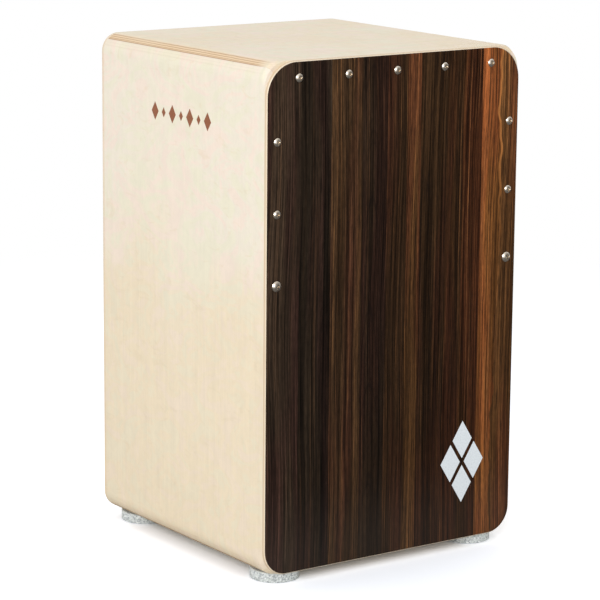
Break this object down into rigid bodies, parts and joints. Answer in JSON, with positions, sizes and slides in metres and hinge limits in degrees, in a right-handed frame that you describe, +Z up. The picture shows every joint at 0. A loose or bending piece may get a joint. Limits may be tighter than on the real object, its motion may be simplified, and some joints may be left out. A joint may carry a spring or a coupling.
{
  "type": "cajon",
  "caption": "Box drum to sit on: mitred pale plywood body with rounded edges, dark veneered playing board, rear sound hole, round feet and a pull-off snare unit inside.",
  "frame": {"origin": "on the floor under the middle of the whole object, screw heads included", "axes": "+X to the right of someone who faces the playing board, which faces -Y; the sound hole faces +Y; +Z up"},
  "size_m": [0.298, 0.2967, 0.5],
  "materials": {
    "birch_ply": "clear satin lacquer over pale birch",
    "board_core": "clear satin lacquer, rounded edge",
    "dark_oak": "dark oak veneer in upright strips, satin lacquer",
    "spruce": "planed, bare",
    "beech": "planed, bare",
    "nickel_screw": "bright nickel",
    "zinc_steel": "zinc plated",
    "grey_felt": "speckled pale grey granulate",
    "hook_tape": "black hook tape",
    "loop_tape": "black loop tape",
    "plate_steel": "folded bright steel",
    "snare_wire": "coiled bright steel wire"
  },
  "bodies": {
    "box": {"top_panel": "birch_ply", "bottom_panel": "birch_ply", "left_side_panel": "birch_ply", "right_side_panel": "birch_ply", "back_panel": "birch_ply", "tapa_core": "board_core", "tapa_veneer": "dark_oak", "front_top_batten": "spruce", "front_bottom_batten": "spruce", "front_left_batten": "spruce", "front_right_batten": "spruce", "back_top_batten": "spruce", "back_bottom_batten": "spruce", "back_left_batten": "spruce", "back_right_batten": "spruce", "top_left_glue_block": "spruce", "top_right_glue_block": "spruce", "bottom_left_glue_block": "spruce", "bottom_right_glue_block": "spruce", "left_snare_rest": "beech", "right_snare_rest": "beech", "tapa_screws": "nickel_screw", "foot_screws": "zinc_steel", "foot_washers": "zinc_steel", "front_left_foot": "grey_felt", "front_right_foot": "grey_felt", "back_left_foot": "grey_felt", "back_right_foot": "grey_felt", "hook_pads": "hook_tape"},
    "snare_unit": {"snare_bar": "beech", "loop_pads": "loop_tape", "plate_screws": "zinc_steel", "left_snare_plate": "plate_steel", "right_snare_plate": "plate_steel", "left_snare_strands": "snare_wire", "right_snare_strands": "snare_wire"}
  },
  "joints": [
    {"name": "snare_unit_slide", "type": "slide", "parent": "box", "child": "snare_unit", "axis": [0, 1, 0], "range_m": [0, 0.15]}
  ]
}
